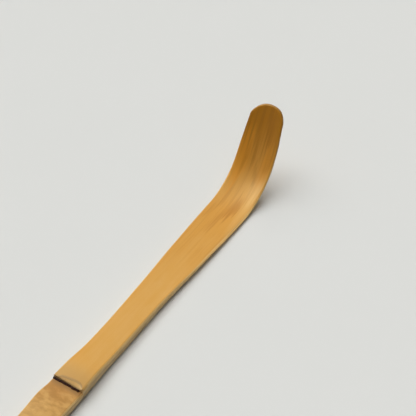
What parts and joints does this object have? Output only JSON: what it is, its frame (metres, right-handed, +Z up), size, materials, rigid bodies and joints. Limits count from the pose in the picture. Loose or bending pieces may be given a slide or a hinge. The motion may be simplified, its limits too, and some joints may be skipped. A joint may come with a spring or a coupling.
{
  "type": "tea scoop",
  "caption": "Slender bamboo tea scoop: a carved strip with a node ridge mid-length, steam-bent up into a round-tipped, dished blade for lifting powdered tea.",
  "frame": {"origin": "on the table plane, under the middle of the box: halfway from the cut end to the tip, on the strip's centre line", "axes": "+X from the cut end to the tip of the scoop, +Y across the strip to its left, +Z up from the table"},
  "size_m": [0.1746, 0.0104, 0.0208],
  "materials": {
    "flesh": "knife-cut bamboo flesh, matt, with lengthwise fibres",
    "upper_skin": "smoked bamboo skin, satin, darker towards the tip",
    "lower_skin": "smoked bamboo skin, satin, reddish below the node",
    "scar": "dark corky scar, matt",
    "diaphragm": "cross-grained, matt"
  },
  "bodies": {
    "root": {"bamboo_core": "flesh", "upper_skin": "upper_skin", "lower_skin": "lower_skin", "sheath_scar": "scar", "diaphragm_root": "diaphragm"}
  },
  "joints": []
}
